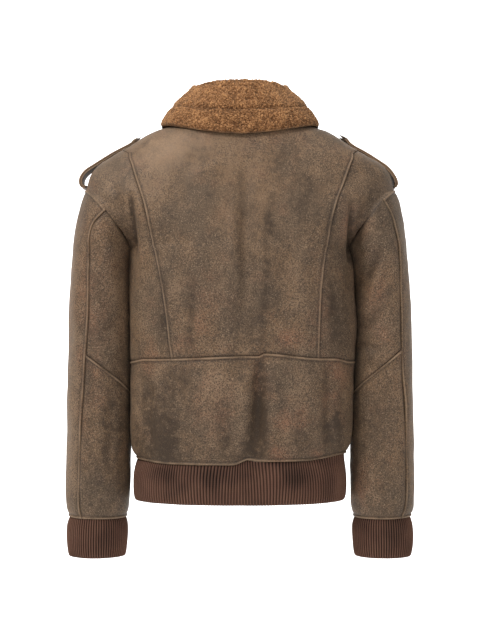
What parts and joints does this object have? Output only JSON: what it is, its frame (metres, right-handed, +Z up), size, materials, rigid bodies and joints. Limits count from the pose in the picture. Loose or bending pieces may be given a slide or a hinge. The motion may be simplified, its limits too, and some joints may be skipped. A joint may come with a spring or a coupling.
{
  "type": "shearling-collar jacket",
  "caption": "Waist-length leather jacket with a fleece collar, shoulder straps, a closed front zip and knitted rib at hem and cuffs, filled out as worn.",
  "frame": {"origin": "middle of the neck opening, level with the tops of the shoulders, where the wearer's neck and shoulders hold the jacket up", "axes": "+Z up, the wearer faces -Y, +X is the wearer's left"},
  "size_m": [0.5975, 0.2768, 0.8082],
  "materials": {
    "leather": "worn, pebbled, low sheen",
    "fleece": "curly pile",
    "rib": "rib knit",
    "tape": "woven tape",
    "metal": "aged"
  },
  "bodies": {
    "jacket": {"back_centre": "leather", "back_side_left": "leather", "back_side_right": "leather", "back_lower": "leather", "front_left": "leather", "front_right": "leather", "sleeve_top_left": "leather", "sleeve_top_right": "leather", "sleeve_under_left": "leather", "sleeve_under_right": "leather", "sleeve_elbow_left": "leather", "sleeve_elbow_right": "leather", "hem_rib": "rib", "cuff_left": "rib", "cuff_right": "rib", "collar_band": "fleece", "collar_fall_left": "fleece", "collar_fall_right": "fleece", "epaulette_left": "leather", "epaulette_right": "leather", "snap_left": "metal", "snap_right": "metal", "zip_tape_left": "tape", "zip_tape_right": "tape", "zip_chain": "metal", "zip_slider": "metal"},
    "pull": {"zip_pull": "metal"}
  },
  "joints": [
    {"name": "pull_swing", "type": "hinge", "parent": "jacket", "child": "pull", "pos_m": [0, -0.09703, -0.09235], "axis": [-1, 0, 0], "range_deg": [0, 160]}
  ]
}
